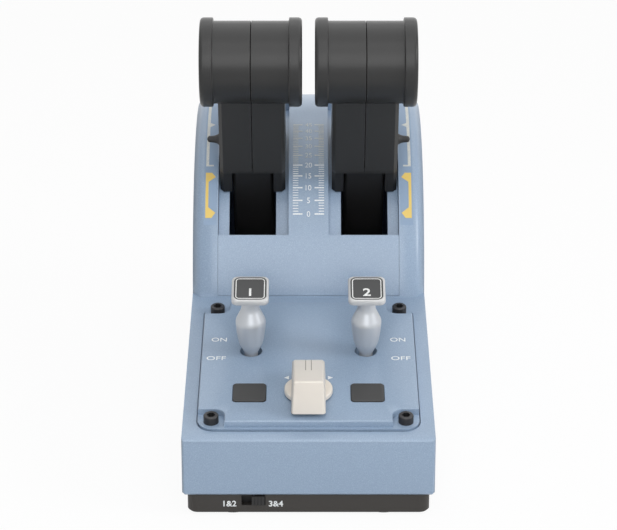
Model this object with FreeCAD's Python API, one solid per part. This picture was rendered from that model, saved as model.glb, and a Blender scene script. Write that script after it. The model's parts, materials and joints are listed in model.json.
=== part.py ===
"""Twin thrust-lever quadrant for a flight-simulator desk, as separate moulded and turned pieces.

Frame: +X to the user's right, +Y away from the user, +Z up, millimetres.
The origin is the middle of the footprint, on the surface that the rubber feet stand on.
Levers are modelled upright about their pivot and then leaned to the rest angle.
Control-panel pieces are modelled in deck coordinates: X across, Y up the slope, Z normal to it.
"""
import FreeCAD, Part
import math
import os

V = FreeCAD.Vector
X_AXIS = V(1, 0, 0)
Z_AXIS = V(0, 0, 1)
SIDES = {"left": -1, "right": 1}
FINE = 0.02            # sliver that lets one cutter pass cleanly through a face

# ---- overall housing ----
width = 100.0          # across the flat sides
foot_height = 0.8      # rubber feet below the pan
pan_height = 8.4       # black pan showing under the housing
pan_inset = 1.9        # pan stands in from the housing all round
pan_edge = 0.8         # bevel round the pan's underside
front_height = 24.1    # front face of the housing, pan to deck edge
wall = 2.6             # moulded wall of the housing
deck_slope_deg = 9.84  # deck rises toward the back
edge_bevel = 1.1       # soft outer edges
pan_corner_r = 4.2     # upright corners of the pan
rear_round = 5.0       # crest to rear wall

# ---- hump and lever pivot ----
pivot_back = 186.9     # pivot axis behind the deck's front edge
pivot_up = 3.7         # pivot axis above the deck's front edge
pivot_to_rear = 43.1   # pivot axis to the rear wall
hump_r = 80.1          # hump radius about the lever pivot
side_chamfer = 3.8     # 45 degree chamfer along both sides of the hump

# ---- sector insert between the side strips ----
sector_half = 39.1     # half width of the insert
sector_gap = 0.12      # seam between insert and housing
sector_front_deg = 78.6
sector_rear_deg = 14.0
strip_half = 8.6       # scale strip between the two channels
channel_depth = 5.6    # channel floor below the hump
channel_front_deg = 59.8
channel_rear_deg = 4.0
sector_wall = 2.2
slot_width = 20.3
slot_rear_deg = -3.5
rail_width = 1.8       # flange of the housing that walls each channel

# ---- thrust levers ----
lever_x = 24.2         # lever centre planes, left and right
lever_rest_deg = 29.3  # lean toward the user at rest
arm_width = 17.4
arm_half_depth = 8.5
arm_nose = 16.6        # front of the arm's deep lower part, seen under the block's lip
hub_r = 13.0
shaft_r = 4.0
bush_wall = 1.5
shaft_fit = 0.05       # radial running clearance
block_width = 28.2
block_half_depth = 18.8
block_clear = 0.5      # foot runs just above the channel floor
block_foot_half = 18.0
block_lip = 1.0        # cheeks stand in this far under the lip
block_edge = 1.8       # bevel along the block's sides
block_lip_up = 5.8     # heights above the hump: lip, shoulder, head axis, pointer, latch pin
block_shoulder_up = 28.3
head_up = 53.1
pointer_up = 8.5
latch_pin_up = 23.9
block_neck_half = 9.0
head_r = 17.45
head_width = 43.0
flange_r = 18.85
flange_width = 5.5
flange_round = 1.6
head_shell = 3.2
head_seam = 0.25       # open joint between shell halves
pointer_reach = 5.8
pointer_front = 2.3    # nub ahead of the lever's middle plane
pointer_root_r = 3.4
pointer_tip_r = 1.3

# ---- lever end button and reverse latch ----
button_r = 6.5
button_fit = 0.25
button_sink = 0.3      # button's face inside the flange's face
button_travel = 1.8
button_bore = 7.0      # depth of the button's well
latch_width = 19.0
latch_thick = 3.6
latch_length = 27.0
latch_pin_r = 1.6
latch_pin_in = 2.8     # pin axis inside the block's far face

# ---- control panel on the deck ----
panel_half = 44.0
panel_front = 6.5
panel_to_hump = 8.6    # panel's rear edge to the hump's foot
panel_corner_r = 6.5
panel_pocket_gap = 0.55
panel_sink = 2.0       # panel base below the deck surface
tab_height = 0.8       # low screw tabs above the deck
panel_raise = 3.75     # top of the panel above the deck
panel_lip = 1.5        # raised front face behind the tabs' front edge
panel_edge = 0.6       # bevel round the panel's top
panel_ledge = 3.0      # deck ledge that the panel's long edges lie on
notch_width = 10.6
notch_depth = 9.0
notch_round = 4.5
screw_in = 5.4         # screw centres in from the panel's sides
screw_inset = 5.3      # screw centres in from the panel's ends
screw_head_r = 3.0
screw_head_h = 3.3
screw_shank_r = 1.5
hex_across = 3.0
hex_deep = 1.8

# ---- push buttons, selector knob ----
key_x = 23.7
key_s = 28.2
key_wide = 13.3
key_round = 1.5
key_fit = 0.2
key_proud = 0.5
key_travel = 1.2
key_flange = 1.0       # stop flange round the key under the panel
key_bottom = -4.2      # end of the key's stem below the deck
tact_tall = 2.4
post_r = 1.1
knob_s = 28.4
knob_disc_r = 9.7
knob_disc_h = 1.8
knob_float = 0.7       # disc above the panel
grip_front = 18.3      # grip reach toward the user from the knob axis
grip_back = 11.6
grip_wide_low = 13.7
grip_wide_high = 12.3
grip_front_h = 13.6    # grip height above the disc, front and back
grip_back_h = 6.6
grip_edge = 0.9        # bevel on the grip's edges
knob_shaft_r = 3.0

# ---- engine switches ----
stick_x = 23.65
stick_s = 58.9
stick_hole_s = 60.2
stick_hole_r = 4.6
stick_pivot_h = -6.0   # switch pivot below the deck surface
stem_r = 2.9
bulb_r = 5.8
bulb_low_h = 18.5
bulb_high_h = 22.8
neck_r = 3.6
neck_h = 29.0
cap_h = 34.9
cap_side = 15.1
cap_thick = 3.0
cap_round = 2.4
cap_tilt_deg = 13.0    # cap leans from the deck normal toward the user
face_side = 13.3
face_sink = 0.9

# ---- bank selector on the pan's front ----
slide_left = -26.6
slide_wide = 9.5
slide_z = 6.4
slide_tall = 4.4
slide_knob_wide = 5.2
slide_fit = 0.25
slide_proud = 0.9

# ---- inner works ----
pan_floor = 3.0
upright_thick = 4.5
upright_gap = 0.6      # friction disc to its neighbours
disc_thick = 1.6
disc_r = 11.0
frame_foot_half_y = 17.0
frame_foot_thick = 4.0
board_thick = 1.6
magnet_r = 3.0
magnet_thick = 2.0
mount_hole_r = 2.6
mount_spacing_x = 40.0
mount_behind = 25.1    # rear mounting holes behind the pivot axis
mount_pad_r = 5.0
boss_r = 3.6
boss_x = 43.2
boss_inset = 11.0      # end bosses in from the pan's ends
base_screw_r = 1.25
base_head_r = 2.6
base_head_h = 2.0
foot_r = 8.0
foot_sink = 0.6
foot_x = 30.0
foot_inset = 12.0      # foot centres in from the housing's ends
usb_x = 0.0
usb_z = 24.0
usb_half_wide = 4.7
usb_half_tall = 1.8
cover_wide = 34.0
cover_tall = 10.0
cover_sink = 1.2
cover_y = 45.0
cover_z = 22.0
cover_gap = 0.15

# ---- derived places ----
pan_z = foot_height
seam_z = pan_z + pan_height
edge_z = seam_z + front_height
length = pivot_back + pivot_to_rear
screw_x = panel_half - screw_in
front_y = -length / 2
rear_y = length / 2
foot_y = length / 2 - foot_inset
mount_spacing_y = 2 * (front_y + pivot_back + mount_behind)
channel_floor_r = hump_r - channel_depth
block_foot_r = channel_floor_r + block_clear
block_lip_z = hump_r + block_lip_up
block_shoulder_z = hump_r + block_shoulder_up
head_z = hump_r + head_up
pointer_z = hump_r + pointer_up
latch_pin_y = block_half_depth - latch_pin_in
latch_pin_z = hump_r + latch_pin_up
pivot = V(0, front_y + pivot_back, edge_z + pivot_up)
slope = math.radians(deck_slope_deg)
deck_place = FreeCAD.Placement(V(0, front_y, edge_z), FreeCAD.Rotation(X_AXIS, deck_slope_deg))


# ================= shape helpers =================

def box(x0, x1, y0, y1, z0, z1):
    """Block between two corners."""
    return Part.makeBox(x1 - x0, y1 - y0, z1 - z0, V(x0, y0, z0))


def cylinder(r, start, direction, height):
    """Round bar from a start point."""
    return Part.makeCylinder(r, height, start, direction)


def mirrored(shape, side):
    """A piece drawn for the right-hand side, carried to either side."""
    return shape if side > 0 else shape.mirror(V(0, 0, 0), X_AXIS)


def rounded_plate(x0, x1, y0, y1, z0, z1, r):
    """Flat plate with upright corners of radius r."""
    plate = box(x0, x1, y0, y1, z0, z1)
    uprights = [e for e in plate.Edges if abs(e.BoundBox.ZLength - (z1 - z0)) < 1e-6 and e.Length > 1e-6]
    return plate.makeFillet(r, uprights)


def ring(x0, x1, r0, r1, deg0, deg1):
    """Sector of a ring about the lever pivot; angles from upright, positive toward the back."""
    corners = [V(x0, 0, r0), V(x1, 0, r0), V(x1, 0, r1), V(x0, 0, r1), V(x0, 0, r0)]
    face = Part.Face(Part.makePolygon(corners))
    face.rotate(V(0, 0, 0), X_AXIS, -deg0)
    solid = face.revolve(V(0, 0, 0), V(-1, 0, 0), deg1 - deg0)
    solid.translate(pivot)
    return solid


def on_deck(shape):
    """Carry a piece from deck coordinates to its place."""
    placed = shape.copy()
    placed.Placement = deck_place.multiply(placed.Placement)
    return placed


def on_lever(shape, side):
    """Carry an upright, right-hand lever piece to its side, its pivot and its rest lean."""
    placed = mirrored(shape, side).copy()
    placed.translate(V(side * lever_x, 0, 0))
    placed.rotate(V(0, 0, 0), X_AXIS, lever_rest_deg)
    placed.translate(pivot)
    return placed


def extruded(points, x0, x1):
    """Side outline in Y and Z, carried across X."""
    wire = Part.makePolygon([V(x0, y, z) for y, z in points + points[:1]])
    return Part.Face(wire).extrude(V(x1 - x0, 0, 0))


def revolved(points):
    """Turned piece about Z from (radius, height) points that start and end on the axis."""
    wire = Part.makePolygon([V(r, 0, z) for r, z in points + points[:1]])
    return Part.Face(wire).revolve(V(0, 0, 0), Z_AXIS, 360)


def fillet_where(shape, radius, test):
    """Round the edges whose middle passes the test."""
    chosen = [e for e in shape.Edges if test(e.CenterOfMass, e)]
    return shape.makeFillet(radius, chosen) if chosen else shape


def bevel_where(shape, size, test):
    """Bevel the edges whose middle passes the test."""
    chosen = [e for e in shape.Edges if test(e.CenterOfMass, e)]
    return shape.makeChamfer(size, chosen) if chosen else shape


def joined(shapes):
    """Fuse a list of touching solids into one clean solid."""
    return shapes[0].multiFuse(shapes[1:]).removeSplitter()


# ================= housing and pan =================

def deck_height(y):
    """Height of the deck plane above the floor at depth y."""
    return edge_z + (y - front_y) * math.tan(slope)


def deck_meets_hump(radius, drop):
    """Point where the lowered deck plane runs into the hump's circle."""
    m = math.tan(slope)
    z0 = edge_z - drop / math.cos(slope) - m * front_y
    a = 1 + m * m
    b = 2 * (m * (z0 - pivot.z) - pivot.y)
    c = pivot.y ** 2 + (z0 - pivot.z) ** 2 - radius ** 2
    y = (-b - math.sqrt(b * b - 4 * a * c)) / (2 * a)
    return y, m * y + z0


panel_rear = (deck_meets_hump(hump_r, 0)[0] - front_y) / math.cos(slope) - panel_to_hump


def side_outline(inset, bottom, x):
    """Closed side outline of the housing, drawn in by an even wall."""
    radius = hump_r - inset
    front = front_y + inset
    rear = rear_y - inset
    foot_y, foot_z = deck_meets_hump(radius, inset)
    deck_front_z = deck_height(front) - inset / math.cos(slope)
    rear_z = pivot.z + math.sqrt(radius ** 2 - (rear - pivot.y) ** 2)
    crest = V(x, pivot.y, pivot.z + radius)
    edges = [
        Part.makeLine(V(x, front, bottom), V(x, front, deck_front_z)),
        Part.makeLine(V(x, front, deck_front_z), V(x, foot_y, foot_z)),
        Part.Arc(V(x, foot_y, foot_z), crest, V(x, rear, rear_z)).toShape(),
        Part.makeLine(V(x, rear, rear_z), V(x, rear, bottom)),
        Part.makeLine(V(x, rear, bottom), V(x, front, bottom)),
    ]
    return Part.Face(Part.Wire(edges))


def housing_body():
    """Outer form: box front, sloped deck, round hump, soft edges and chamfered hump sides."""
    half = width / 2
    body = side_outline(0, seam_z, -half).extrude(V(width, 0, 0))
    body = fillet_where(body, rear_round, lambda c, e: c.y > rear_y - 1 and c.z > 90
                        and abs(c.x) < 1 and e.BoundBox.XLength > width - 1)
    body = bevel_where(body, edge_bevel, lambda c, e: c.y < front_y + 0.1
                        or c.z < seam_z + 0.1 or (c.y > rear_y - 0.1 and e.BoundBox.ZLength > 15))
    reach = side_chamfer + 1
    wedge = Part.makePolygon([V(half - side_chamfer, 0, hump_r), V(half + 1, 0, hump_r - reach),
                              V(half + 1, 0, hump_r + 1), V(half - side_chamfer, 0, hump_r + 1),
                              V(half - side_chamfer, 0, hump_r)])
    bevel = Part.Face(wedge).revolve(V(0, 0, 0), X_AXIS, 360)
    bevel.translate(pivot)
    above = on_deck(box(-width, width, 0, 2 * length, 0, length))
    bevel = bevel.common(above)
    return body.cut([bevel, bevel.mirror(V(0, 0, 0), X_AXIS)])


def panel_pocket():
    """Cutter for the panel's seat in the deck and the open window below it."""
    g = panel_pocket_gap
    seat = rounded_plate(-panel_half - g, panel_half + g, panel_front - g, panel_rear + g,
                         -panel_sink, 5, panel_corner_r + g)
    window = rounded_plate(-panel_half + panel_ledge, panel_half - panel_ledge,
                           panel_front + panel_lip + notch_depth, panel_rear - panel_lip - notch_depth,
                           -10, 0, panel_corner_r)
    return on_deck(seat.fuse(window))


def boss_spots():
    """Screw boss centres that join pan and housing."""
    rows = (front_y + boss_inset + 6, front_y + length * 0.535, rear_y - boss_inset)
    return [(side * boss_x, y) for side in SIDES.values() for y in rows]


def upper_housing():
    """Blue moulded shell with the sector window, panel seat, channel rails and screw bosses."""
    half = width / 2
    body = housing_body()
    cavity = side_outline(wall, seam_z - 1, -half + wall).extrude(V(width - 2 * wall, 0, 0))
    shell = body.cut(cavity)
    rails = [ring(x0, x0 + rail_width, channel_floor_r - sector_wall, hump_r - wall / 2,
                  -sector_front_deg + 3, sector_rear_deg)
             for x0 in (sector_half, -sector_half - rail_width)]
    floor_under = [on_deck(box(-half + wall, half - wall, panel_front - 3, panel_rear + 3,
                               -panel_sink - wall, -0.5))]
    bosses = []
    for x, y in boss_spots():
        top = deck_height(y) - wall if y < 0 else seam_z + 30
        bosses.append(cylinder(boss_r, V(x, y, seam_z), Z_AXIS, top - seam_z))
        bosses.append(box(min(x, math.copysign(half - 1, x)), max(x, math.copysign(half - 1, x)),
                          y - 0.8, y + 0.8, seam_z + 2, top))
    shell = joined([shell] + rails + floor_under + bosses)
    shell = shell.common(body)
    sector_window = ring(-sector_half, sector_half, hump_r - 12, hump_r + 8,
                         -sector_front_deg, sector_rear_deg)
    pilots = [cylinder(base_screw_r - 0.2, V(x, y, seam_z), Z_AXIS, 14) for x, y in boss_spots()]
    usb = rounded_slot(usb_half_wide + 0.2, usb_half_tall + 0.2, rear_y - wall - 1, rear_y + 1)
    covers = [box(*sorted((side * (half - cover_sink), side * (half + 1))), cover_y - cover_wide / 2,
                  cover_y + cover_wide / 2, cover_z - cover_tall / 2, cover_z + cover_tall / 2)
              for side in SIDES.values()]
    panel_screw_holes = on_deck(Part.makeCompound(
        [cylinder(screw_shank_r - 0.2, V(x, s, -panel_sink - wall - 1), Z_AXIS, wall + 2)
         for x, s in panel_screw_spots()]))
    return shell.cut([panel_pocket(), sector_window, usb, panel_screw_holes] + pilots + covers)


def rounded_slot(half_wide, half_tall, y0, y1):
    """Long round-ended bar along Y, the shape of the socket's mouth."""
    flat = half_wide - half_tall
    middle = box(usb_x - flat, usb_x + flat, y0, y1, usb_z - half_tall, usb_z + half_tall)
    ends = [cylinder(half_tall, V(usb_x + sign * flat, y0, usb_z), V(0, 1, 0), y1 - y0) for sign in (-1, 1)]
    return joined([middle] + ends)


def side_cover(side):
    """Flush snap-in cover over the side expansion connector."""
    half = width / 2
    g = cover_gap
    x0, x1 = sorted((side * (half - cover_sink), side * half))
    plate = box(x0, x1, cover_y - cover_wide / 2 + g, cover_y + cover_wide / 2 - g,
                cover_z - cover_tall / 2 + g, cover_z + cover_tall / 2 - g)
    grip = box(*sorted((side * (half - 0.5), side * (half + 1))), cover_y - 5, cover_y + 5,
               cover_z + cover_tall / 2 - 2.2, cover_z + cover_tall / 2)
    return plate.cut(grip)


def sector_plate():
    """Insert with the scale strip, front apron, two sunk channels and the lever slots."""
    half = sector_half - sector_gap
    front = -sector_front_deg + 0.1
    rear = sector_rear_deg - 0.1
    low = channel_floor_r - sector_wall
    plate = ring(-half, half, low, hump_r, front, rear)
    cuts = [ring(-half + 2, half - 2, low - 1, hump_r - sector_wall, front + 2, -channel_front_deg - 1.8),
            ring(-strip_half + 2, strip_half - 2, low - 1, hump_r - sector_wall,
                 -channel_front_deg, channel_rear_deg),
            ring(-half + 2, half - 2, low - 1, hump_r - sector_wall, channel_rear_deg + 2, rear - 2)]
    for side in SIDES.values():
        x0, x1 = sorted((side * strip_half, side * (sector_half + 1)))
        cuts.append(ring(x0, x1, channel_floor_r, hump_r + 2, -channel_front_deg, channel_rear_deg))
        middle = side * lever_x
        cuts.append(ring(middle - slot_width / 2, middle + slot_width / 2, low - 2, hump_r + 2,
                         -channel_front_deg, slot_rear_deg))
    return plate.cut(cuts)


def pan_outline(z0, z1, inset):
    """Rounded footprint of the pan, drawn in evenly."""
    half = width / 2 - pan_inset - inset
    return rounded_plate(-half, half, front_y + pan_inset + inset, rear_y - pan_inset - inset, z0, z1,
                         max(pan_corner_r - inset, 1.0))


def base_pan():
    """Black tray: floor, low wall, bosses, screw and mounting holes, foot recesses, slide window."""
    outer = pan_outline(pan_z, seam_z, 0)
    outer = bevel_where(outer, pan_edge, lambda c, e: c.z < pan_z + 0.01)
    inner = pan_outline(pan_z + pan_floor, seam_z + 1, wall)
    tray = outer.cut(inner)
    inside = V(0, 0, pan_z + pan_floor - 1)
    posts = [cylinder(boss_r, V(x, y, inside.z), Z_AXIS, seam_z - inside.z) for x, y in boss_spots()]
    pads = [cylinder(mount_pad_r, V(x, y, inside.z), Z_AXIS, 5) for x, y in mount_spots()]
    tray = joined([tray] + posts + pads)
    cuts = []
    for x, y in boss_spots():
        cuts.append(cylinder(base_screw_r + 0.15, V(x, y, pan_z - 1), Z_AXIS, pan_height + 2))
        cuts.append(cylinder(base_head_r + 0.2, V(x, y, pan_z - 1), Z_AXIS, base_head_h + 1.3))
    cuts += [cylinder(mount_hole_r, V(x, y, pan_z - 1), Z_AXIS, 12) for x, y in mount_spots()]
    cuts += [cylinder(foot_r + 0.1, V(x, y, pan_z - 1), Z_AXIS, foot_sink + 1) for x, y in foot_spots()]
    cuts += [cylinder(screw_shank_r - 0.2, V(x, y, pan_z + 0.8), Z_AXIS, 10) for x, y in frame_screw_spots()]
    cuts.append(box(slide_left, slide_left + slide_wide, front_y, front_y + 12,
                    slide_z - slide_tall / 2, slide_z + slide_tall / 2))
    return tray.cut(cuts)


def mount_spots():
    """Four mounting holes on a rectangle."""
    return [(sx * mount_spacing_x / 2, sy * mount_spacing_y / 2) for sx in (-1, 1) for sy in (-1, 1)]


def foot_spots():
    """Rubber foot centres."""
    return [(sx * foot_x, sy * foot_y) for sx in (-1, 1) for sy in (-1, 1)]


def rubber_feet():
    """Four stuck-on discs, let into the pan."""
    return Part.makeCompound([cylinder(foot_r, V(x, y, 0), Z_AXIS, foot_height + foot_sink)
                              for x, y in foot_spots()])


def base_screws():
    """Pan-head screws that pull the pan to the housing."""
    screws = []
    for x, y in boss_spots():
        z = pan_z + 0.2
        head = cylinder(base_head_r, V(x, y, z), Z_AXIS, base_head_h)
        slots = [box(x - 1.5, x + 1.5, y - 0.3, y + 0.3, z - 1, z + 0.9),
                 box(x - 0.3, x + 0.3, y - 1.5, y + 1.5, z - 1, z + 0.9)]
        shank = cylinder(base_screw_r - 0.25, V(x, y, z), Z_AXIS, pan_height + 8)
        screws.append(head.cut(slots).fuse(shank.cut(slots)).removeSplitter())
    return Part.makeCompound(screws)


# ================= control panel =================

def panel_screw_spots():
    """Corner screw centres in deck coordinates."""
    rows = (panel_front + screw_inset, panel_rear - screw_inset)
    return [(side * screw_x, s) for side in (-1, 1) for s in rows]


def control_panel():
    """Raised plate with four low screw tabs at its corners and its switch openings."""
    base = rounded_plate(-panel_half, panel_half, panel_front, panel_rear, -panel_sink, tab_height,
                         panel_corner_r)
    crown = box(-panel_half, panel_half, panel_front + panel_lip, panel_rear - panel_lip,
                -panel_sink, panel_raise)
    notches = []
    for sx in (-1, 1):
        for sy, end in ((-1, panel_front + panel_lip), (1, panel_rear - panel_lip)):
            x0, x1 = sorted((sx * (panel_half - notch_width), sx * (panel_half + 20)))
            y0, y1 = sorted((end - sy * notch_depth, end + sy * 20))
            notches.append(rounded_plate(x0, x1, y0, y1, -panel_sink - 1, panel_raise + 1, notch_round))
    crown = crown.cut(notches)
    crown = bevel_where(crown, panel_edge, lambda c, e: c.z > panel_raise - 0.01)
    plate = base.fuse(crown).removeSplitter()
    cuts = [cylinder(screw_shank_r + 0.15, V(x, s, -5), Z_AXIS, 10) for x, s in panel_screw_spots()]
    cuts.append(cylinder(knob_shaft_r + shaft_fit + 0.1, V(0, knob_s, -5), Z_AXIS, 12))
    half = key_wide / 2 + key_fit
    for side in (-1, 1):
        cuts.append(rounded_plate(side * key_x - half, side * key_x + half, key_s - half, key_s + half,
                                  -5, 6, key_round + key_fit))
        cuts.append(cylinder(stick_hole_r, V(side * stick_x, stick_hole_s, -5), Z_AXIS, 12))
    return on_deck(plate.cut(cuts))


def hexagon(x, y, z, across):
    """Closed hexagon, measured across its flats."""
    r = across / math.sqrt(3)
    turns = [math.radians(60 * i) for i in range(7)]
    return Part.makePolygon([V(x + r * math.cos(a), y + r * math.sin(a), z) for a in turns])


def socket_screw(x, y, z, length_below):
    """Socket cap screw standing on height z, head up."""
    head = cylinder(screw_head_r, V(x, y, z), Z_AXIS, screw_head_h)
    head = bevel_where(head, 0.35, lambda c, e: c.z > z + screw_head_h - 0.01)
    shank = cylinder(screw_shank_r - 0.25, V(x, y, z - length_below), Z_AXIS, length_below)
    socket = Part.Face(hexagon(x, y, z + screw_head_h - hex_deep, hex_across)).extrude(V(0, 0, hex_deep + 1))
    return head.fuse(shank).cut(socket).removeSplitter()


def panel_screws():
    """The four black cap screws at the panel's corners."""
    return on_deck(Part.makeCompound([socket_screw(x, s, tab_height, 5.0) for x, s in panel_screw_spots()]))


def push_button(side):
    """Square key with a flange that stops it under the panel."""
    half = key_wide / 2
    x = side * key_x
    key = rounded_plate(x - half, x + half, key_s - half, key_s + half,
                        -2.6, panel_raise + key_proud, key_round)
    key = bevel_where(key, 0.3, lambda c, e: c.z > panel_raise + key_proud - 0.01)
    stem = cylinder(2.0, V(x, key_s, key_bottom), Z_AXIS, 2.0)
    wide = half + key_flange
    flange = rounded_plate(x - wide, x + wide, key_s - wide, key_s + wide,
                           -3.4, -panel_sink - 0.3, key_round + key_flange)
    return on_deck(joined([key, flange, stem]))


def tact_switches():
    """Small board under each key with its tact switch, hung on four posts from the panel."""
    switch_top = key_bottom - key_travel - 0.2
    board_top = switch_top - tact_tall
    reach = key_wide / 2 + key_flange + post_r + 0.5
    edge = reach + post_r + 0.4
    parts = []
    for side in (-1, 1):
        x = side * key_x
        plate = box(x - edge, x + edge, key_s - 8, key_s + 8, board_top - board_thick, board_top)
        switch = box(x - 3, x + 3, key_s - 3, key_s + 3, board_top, switch_top)
        posts = [box(x + sx * reach - post_r, x + sx * reach + post_r, key_s + sy * 6.5 - post_r,
                     key_s + sy * 6.5 + post_r, board_top, -panel_sink) for sx in (-1, 1) for sy in (-1, 1)]
        parts.append(joined([plate, switch] + posts))
    return on_deck(Part.makeCompound(parts))


def knob_base_h():
    """Underside of the knob's disc above the deck."""
    return panel_raise + knob_float


def mode_knob():
    """Cream selector knob: thin disc with a tapered wedge grip that slopes down toward the back."""
    z0 = knob_base_h()
    z1 = z0 + knob_disc_h
    disc = cylinder(knob_disc_r, V(0, knob_s, z0), Z_AXIS, knob_disc_h)
    disc = bevel_where(disc, 0.4, lambda c, e: c.z > z1 - 0.01)
    front = knob_s - grip_front
    back = knob_s + grip_back
    low = z1 - 0.8
    top = z1 + grip_front_h
    profile = extruded([(front, low), (back, low), (back - 0.8, z1 + grip_back_h), (front + 1.4, top)],
                       -grip_wide_low, grip_wide_low)
    draft = Part.makePolygon([V(-grip_wide_low / 2, front - 1, low), V(grip_wide_low / 2, front - 1, low),
                              V(grip_wide_high / 2, front - 1, top), V(-grip_wide_high / 2, front - 1, top),
                              V(-grip_wide_low / 2, front - 1, low)])
    grip = profile.common(Part.Face(draft).extrude(V(0, back - front + 2, 0)))
    grip = bevel_where(grip, grip_edge, lambda c, e: c.z > low + 0.1)
    knob = grip.fuse(disc).removeSplitter()
    bore = cylinder(knob_shaft_r, V(0, knob_s, z0 - 1), Z_AXIS, 6)
    return on_deck(knob.cut(bore))


def knob_shaft():
    """Shaft of the rotary switch, up into the knob."""
    return on_deck(cylinder(knob_shaft_r, V(0, knob_s, -12.0), Z_AXIS, knob_base_h() - 1 + 6 + 12.0))


def rotary_switch():
    """Three-position switch body hung under the panel round the knob's shaft."""
    body = rounded_plate(-10, 10, knob_s - 10, knob_s + 10, -13.5, -panel_sink, 2)
    bore = cylinder(knob_shaft_r + shaft_fit, V(0, knob_s, -12.0 - FINE), Z_AXIS, 20)
    return on_deck(body.cut(bore))


def switch_stick(side):
    """Turned satin handle: ball root, tapered stem, bulb, cone shoulder and neck."""
    deck_h = -stick_pivot_h
    top = deck_h + cap_h - cap_thick - 0.6
    points = [(0, 0), (stem_r, 0), (stem_r, deck_h + 4.5), (bulb_r - 0.5, deck_h + bulb_low_h - 3.5),
              (bulb_r, deck_h + bulb_low_h), (bulb_r - 0.3, deck_h + bulb_high_h),
              (bulb_r - 1.0, deck_h + bulb_high_h + 1),
              (neck_r, deck_h + neck_h), (neck_r, top), (0, top)]
    stick = revolved(points)
    stick.translate(V(side * stick_x, stick_s, stick_pivot_h))
    tilt_cut = cap_blank(side, 0, cap_side + 4, 20)
    return on_deck(stick.cut(tilt_cut))


def cap_blank(side, low, across, thick):
    """Square rounded block in the cap's leaned frame, standing on the cap's underside."""
    half = across / 2
    block = rounded_plate(-half, half, -half, half, low, low + thick, cap_round)
    block.rotate(V(0, 0, 0), X_AXIS, cap_tilt_deg)
    block.translate(V(side * stick_x, stick_s, cap_h - cap_thick))
    return block


def switch_cap(side):
    """Pale square cap with a shallow tray for its face."""
    cap = cap_blank(side, 0, cap_side, cap_thick)
    rim = cap.makeChamfer(0.6, [e for e in cap.Edges if e.Length > cap_side * 0.5])
    tray = cap_blank(side, cap_thick - face_sink, face_side, 3)
    return on_deck(rim.cut(tray))


def cap_face(side):
    """Dark plate laid in the cap's tray."""
    return on_deck(cap_blank(side, cap_thick - face_sink, face_side - 0.1, face_sink - 0.15))


def toggle_switch(side):
    """Switch body under the panel with the socket that the stick rocks in."""
    x = side * stick_x
    body = rounded_plate(x - 6.5, x + 6.5, stick_hole_s - 9, stick_hole_s + 9, -18, -panel_sink, 1.5)
    slot = box(x - stem_r - 0.3, x + stem_r + 0.3, stick_s - stem_r - 0.4, stick_s + stem_r + 4.4,
               stick_pivot_h - stem_r, 1)
    return on_deck(body.cut(slot))


# ================= bank selector =================

def slide_knob():
    """Ribbed black slider at the right-hand end of its window."""
    right = slide_left + slide_wide - slide_fit
    left = right - slide_knob_wide
    face = front_y + pan_inset - slide_proud
    z0 = slide_z - slide_tall / 2 + slide_fit
    z1 = slide_z + slide_tall / 2 - slide_fit
    body = box(left, right, face + 0.6, front_y + pan_inset + wall + 1.2, z0, z1)
    ribs = []
    pitch = 1.3
    for i in range(4):
        x = left + 0.15 + i * pitch
        ribs.append(box(x, x + 0.8, face, face + 0.7, z0, z1))
    return joined([body] + ribs)


def slide_switch():
    """Slide switch body on the pan floor behind its window."""
    y0 = front_y + pan_inset + wall + 1.4
    x0 = slide_left - 3
    x1 = slide_left + slide_wide + 3
    return box(x0, x1, y0, y0 + 6, pan_z + pan_floor, slide_z + 4)


# ================= lever frame =================

def frame_screw_spots():
    """Screws through the lever frame's foot."""
    return [(x, pivot.y + sy * 12.5) for x in (-20.0, 20.0) for sy in (-1, 1)]


def upright_places():
    """Start and end across X of the three uprights."""
    outer = lever_x + arm_width / 2 + 2 * upright_gap + disc_thick
    inner = lever_x - arm_width / 2 - 2 * upright_gap - magnet_thick - disc_thick
    return [(-outer - upright_thick, -outer), (-inner, inner), (outer, outer + upright_thick)]


def lever_frame():
    """Moulded frame: foot plate and three gusseted uprights that carry the lever shaft."""
    floor = pan_z + pan_floor
    places = upright_places()
    half = places[2][1]
    parts = [box(-half, half, pivot.y - frame_foot_half_y, pivot.y + frame_foot_half_y, floor,
                 floor + frame_foot_thick)]
    for x0, x1 in places:
        half_y = frame_foot_half_y - 1
        cheek = extruded([(pivot.y - half_y, floor + 1), (pivot.y + half_y, floor + 1),
                          (pivot.y + 8.0, pivot.z), (pivot.y - 8.0, pivot.z)], x0, x1)
        crown = cylinder(8.0, V(x0, pivot.y, pivot.z), X_AXIS, x1 - x0)
        parts += [cheek, crown]
    frame = joined(parts)
    cuts = [cylinder(shaft_r, V(-width, pivot.y, pivot.z), X_AXIS, 2 * width)]
    cuts += [cylinder(screw_shank_r + 0.15, V(x, y, floor - 1), Z_AXIS, 10) for x, y in frame_screw_spots()]
    return frame.cut(cuts)


def pivot_shaft():
    """Steel shaft through the three uprights, with a clip groove at each end."""
    half = upright_places()[2][1] + 2.6
    shaft = cylinder(shaft_r, V(-half, pivot.y, pivot.z), X_AXIS, 2 * half)
    grooves = []
    for side in (-1, 1):
        x = side * (half - 1.8)
        ring_cut = cylinder(shaft_r + 1, V(x - 0.5, pivot.y, pivot.z), X_AXIS, 1.0)
        core = cylinder(shaft_r - 0.8, V(x - 0.5, pivot.y, pivot.z), X_AXIS, 1.0)
        grooves.append(ring_cut.cut(core))
    return shaft.cut(grooves)


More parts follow.
